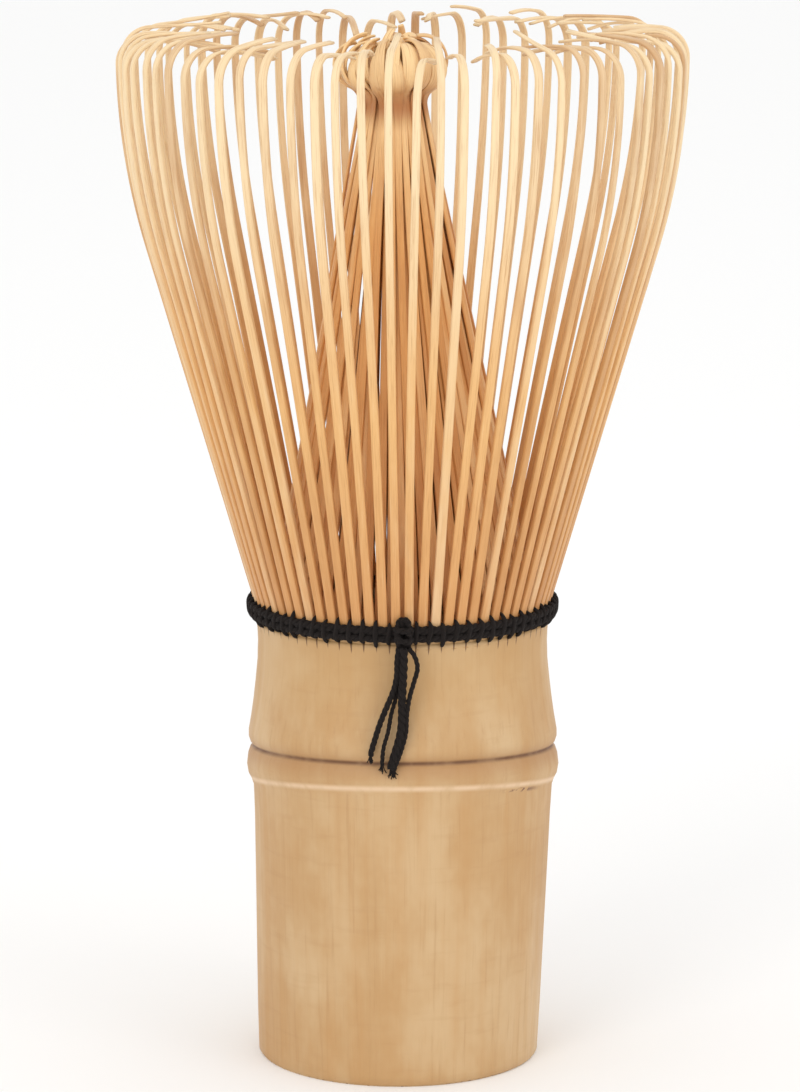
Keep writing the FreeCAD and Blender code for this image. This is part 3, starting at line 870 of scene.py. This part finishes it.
# The loose ends: half the thickness, then distance to the right, distance to the front and
# height at each point of the route.
TAILS = {
    "main": (0.48, [
        (0.1, 17.45, 48.1), (0.1, 17.5, 46.8), (0.05, 17.5, 45.2), (-0.05, 17.45, 43.2),
        (-0.05, 17.35, 41.0), (-0.2, 17.3, 39.0), (-0.7, 17.2, 37.1), (-1.25, 17.1, 35.2),
    ]),
    "loop": (0.27, [
        (0.7, 17.4, 48.1), (1.3, 17.4, 47.2), (1.55, 17.4, 46.0), (1.2, 17.45, 44.6),
        (0.75, 17.45, 43.0), (0.45, 17.4, 41.2), (0.35, 17.3, 39.2), (-0.15, 17.2, 37.2),
        (-0.95, 17.1, 35.0),
    ]),
    "left": (0.33, [
        (-0.4, 17.4, 48.1), (-0.55, 17.5, 46.8), (-0.6, 17.45, 45.2), (-0.95, 17.35, 43.6),
        (-1.75, 17.2, 41.6), (-2.5, 17.0, 39.6), (-3.1, 16.95, 37.6), (-3.35, 16.9, 36.6),
    ]),
    "middle": (0.24, [
        (-0.1, 17.1, 48.1), (-0.2, 17.1, 46.8), (-0.3, 17.1, 44.8), (-0.7, 17.05, 42.8),
        (-1.2, 17.05, 41.0), (-1.5, 17.1, 39.2), (-2.0, 17.15, 37.4), (-2.15, 17.1, 35.6),
    ]),
}
FRAY_HAIRS = 9
HAIR_RADIUS = 0.06


def add_fray(parts, end):
    """The hairs of a frayed end, which spread down and to the sides."""
    for _ in range(FRAY_HAIRS):
        spread = np.array([RNG.gauss(0, 0.22), RNG.gauss(0, 0.08), RNG.uniform(-1.0, -0.4)])
        hair = [end + 0.5 * UP, end + spread * 0.45, end + spread]
        add_tube(parts, smooth_path(hair, 6), HAIR_RADIUS, 5, tone=RNG.random())


def make_tails():
    """The loose ends of the thread, which swing together from the knot."""
    for name, (radius, route) in TAILS.items():
        parts = MeshParts()
        points = np.array([(x, -front, z) for x, front, z in route])
        path = smooth_path(points, 120)
        twist = 3.4 * radius + 0.9
        add_rope(parts, path, radius, twist, plies=3, phase=RNG.uniform(0, 6), tone=RNG.random())
        add_fray(parts, points[-1])
        finish_thread(parts, f"tail_thread_{name}", f"tail_strand_{name}", "thread_tail")


make_band()
make_knot()
make_tails()

# ------------------------------------------------------------------ stage, light and camera

# The stage, the lights and the camera are in metres.
CAMERA_PLACE = (-0.00027, -0.5, 0.15)
CAMERA_PITCH = math.radians(-10.68)
LENS = 156.3
SENSOR_HEIGHT = 36.0


def make_stage():
    """A wide white floor."""
    bpy.ops.mesh.primitive_plane_add(size=8.0, location=(0, 0, 0))
    floor = bpy.context.object
    floor.name = "floor"
    material, _, shader = new_material("floor_white", Roughness=0.9, Specular_IOR_Level=0.1)
    shader.inputs["Base Color"].default_value = (0.95, 0.95, 0.945, 1)
    floor.data.materials.append(material)


def area_light(name, place, target, size, power):
    """A round lamp of that size across, in metres, turned to its target."""
    data = bpy.data.lights.new(name, "AREA")
    data.shape = "DISK"
    data.size = size
    data.energy = power
    light = bpy.data.objects.new(name, data)
    light.location = place
    light.rotation_euler = (Vector(target) - Vector(place)).to_track_quat("-Z", "Y").to_euler()
    bpy.context.scene.collection.objects.link(light)


def make_light():
    """A white room with a key light from the upper left and a weaker one from the right."""
    world = bpy.data.worlds.new("studio")
    world.use_nodes = True
    background = world.node_tree.nodes["Background"]
    background.inputs["Color"].default_value = (1.0, 1.0, 1.0, 1)
    background.inputs["Strength"].default_value = 1.0
    bpy.context.scene.world = world
    middle = (0, 0, 0.06)
    area_light("key", (-0.5, -0.9, 0.75), middle, 0.5, 2.2)
    area_light("fill", (0.8, -0.7, 0.4), middle, 0.6, 1.5)
    bpy.context.scene.view_settings.view_transform = "Standard"


def make_camera():
    """A long lens half a metre in front of the whisk, looking down a little."""
    data = bpy.data.cameras.new("camera")
    data.sensor_fit = "VERTICAL"
    data.sensor_height = SENSOR_HEIGHT
    data.lens = LENS
    data.clip_start = 0.05
    data.clip_end = 20.0
    camera = bpy.data.objects.new("camera", data)
    camera.location = CAMERA_PLACE
    camera.rotation_euler = (math.radians(90) + CAMERA_PITCH, 0, 0)
    bpy.context.scene.collection.objects.link(camera)
    bpy.context.scene.camera = camera


make_stage()
make_light()
make_camera()
